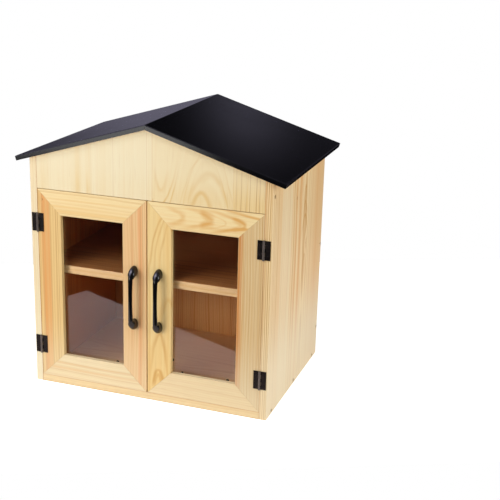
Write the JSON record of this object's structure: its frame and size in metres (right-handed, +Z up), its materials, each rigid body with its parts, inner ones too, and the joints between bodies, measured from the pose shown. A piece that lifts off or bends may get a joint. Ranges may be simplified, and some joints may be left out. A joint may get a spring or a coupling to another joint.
{
  "type": "street book exchange box",
  "caption": "Gabled wooden cabinet with a folded black metal roof, paired glazed doors on small butt hinges, bow handles and a lift-out shelf, for exchanging books outdoors.",
  "frame": {"origin": "middle of the whole box's footprint, roof and handles included, on the surface it stands on", "axes": "+Z up, -Y out of the doors, +X to the right of someone facing the doors"},
  "size_m": [0.5316, 0.3906, 0.5362],
  "materials": {
    "pine_outer": "clear satin finished pine",
    "pine_inner": "plain planed pine",
    "black_sheet": "gloss black coated steel sheet",
    "black_iron": "satin black",
    "bronze": "dark bronze",
    "zinc": "zinc plated",
    "acrylic": "clear acrylic sheet",
    "catch_plastic": "brown moulded plastic",
    "ferrite": "dark ferrite"
  },
  "bodies": {
    "cabinet": {"left_side_panel": "pine_outer", "right_side_panel": "pine_outer", "floor_board": "pine_outer", "back_panel": "pine_inner", "front_gable_board": "pine_outer", "roof_board_left": "pine_inner", "roof_board_right": "pine_inner", "roof_cover": "black_sheet", "left_side_screw_1": "black_iron", "left_side_screw_2": "black_iron", "left_side_screw_3": "black_iron", "left_side_screw_4": "black_iron", "left_side_screw_5": "black_iron", "left_side_screw_6": "black_iron", "right_side_screw_1": "black_iron", "right_side_screw_2": "black_iron", "right_side_screw_3": "black_iron", "right_side_screw_4": "black_iron", "right_side_screw_5": "black_iron", "right_side_screw_6": "black_iron", "shelf_pin_left_front": "zinc", "shelf_pin_left_back": "zinc", "shelf_pin_right_front": "zinc", "shelf_pin_right_back": "zinc", "left_catch_housing": "catch_plastic", "right_catch_housing": "catch_plastic", "left_catch_magnet": "ferrite", "right_catch_magnet": "ferrite", "left_lower_hinge_side_leaf": "bronze", "left_upper_hinge_side_leaf": "bronze", "right_lower_hinge_side_leaf": "bronze", "right_upper_hinge_side_leaf": "bronze", "left_lower_hinge_pin": "bronze", "left_upper_hinge_pin": "bronze", "right_lower_hinge_pin": "bronze", "right_upper_hinge_pin": "bronze"},
    "shelf_board": {"shelf": "pine_inner"},
    "left_door": {"left_door_hinge_stile": "pine_outer", "left_door_lock_stile": "pine_outer", "left_door_top_rail": "pine_outer", "left_door_bottom_rail": "pine_outer", "left_door_pane": "acrylic", "left_handle": "black_iron", "left_handle_screw_lower": "zinc", "left_handle_screw_upper": "zinc", "left_strike_plate": "zinc", "left_lower_hinge_door_leaf": "bronze", "left_upper_hinge_door_leaf": "bronze"},
    "right_door": {"right_door_hinge_stile": "pine_outer", "right_door_lock_stile": "pine_outer", "right_door_top_rail": "pine_outer", "right_door_bottom_rail": "pine_outer", "right_door_pane": "acrylic", "right_handle": "black_iron", "right_handle_screw_lower": "zinc", "right_handle_screw_upper": "zinc", "right_strike_plate": "zinc", "right_lower_hinge_door_leaf": "bronze", "right_upper_hinge_door_leaf": "bronze"}
  },
  "joints": [
    {"name": "left_door_hinge", "type": "hinge", "parent": "cabinet", "child": "left_door", "pos_m": [-0.22585, -0.17425, 0.205], "axis": [0, 0, -1], "range_deg": [0, 175]},
    {"name": "right_door_hinge", "type": "hinge", "parent": "cabinet", "child": "right_door", "pos_m": [0.22585, -0.17425, 0.205], "axis": [0, 0, 1], "range_deg": [0, 175]},
    {"name": "shelf_lift", "type": "slide", "parent": "cabinet", "child": "shelf_board", "axis": [0, 0, 1], "range_m": [0, 0.08]}
  ]
}
